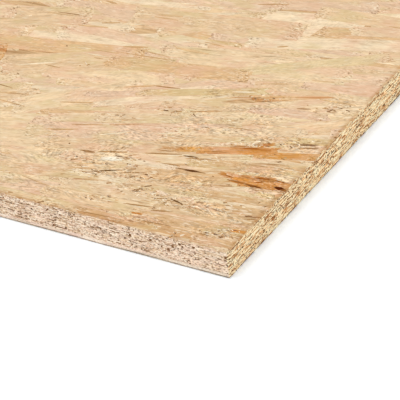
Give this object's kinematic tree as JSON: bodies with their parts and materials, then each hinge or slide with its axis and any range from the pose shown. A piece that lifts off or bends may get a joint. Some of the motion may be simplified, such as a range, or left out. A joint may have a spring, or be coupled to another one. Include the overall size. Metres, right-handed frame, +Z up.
{
  "type": "oriented strand board panel",
  "caption": "Flat rectangular sheet of pressed wood strands with square sawn edges, for sheathing, decking and boxing in.",
  "frame": {"origin": "middle of the sheet's underside", "axes": "+X along the sheet, the way the face strands lie, +Y across it, +Z up out of the top face"},
  "size_m": [2.44, 1.22, 0.018],
  "materials": {
    "strand_board": "bare pressed wood strands, unsanded, dull with a slight sheen of resin"
  },
  "bodies": {
    "root": {"osb_panel": "strand_board"}
  },
  "joints": []
}
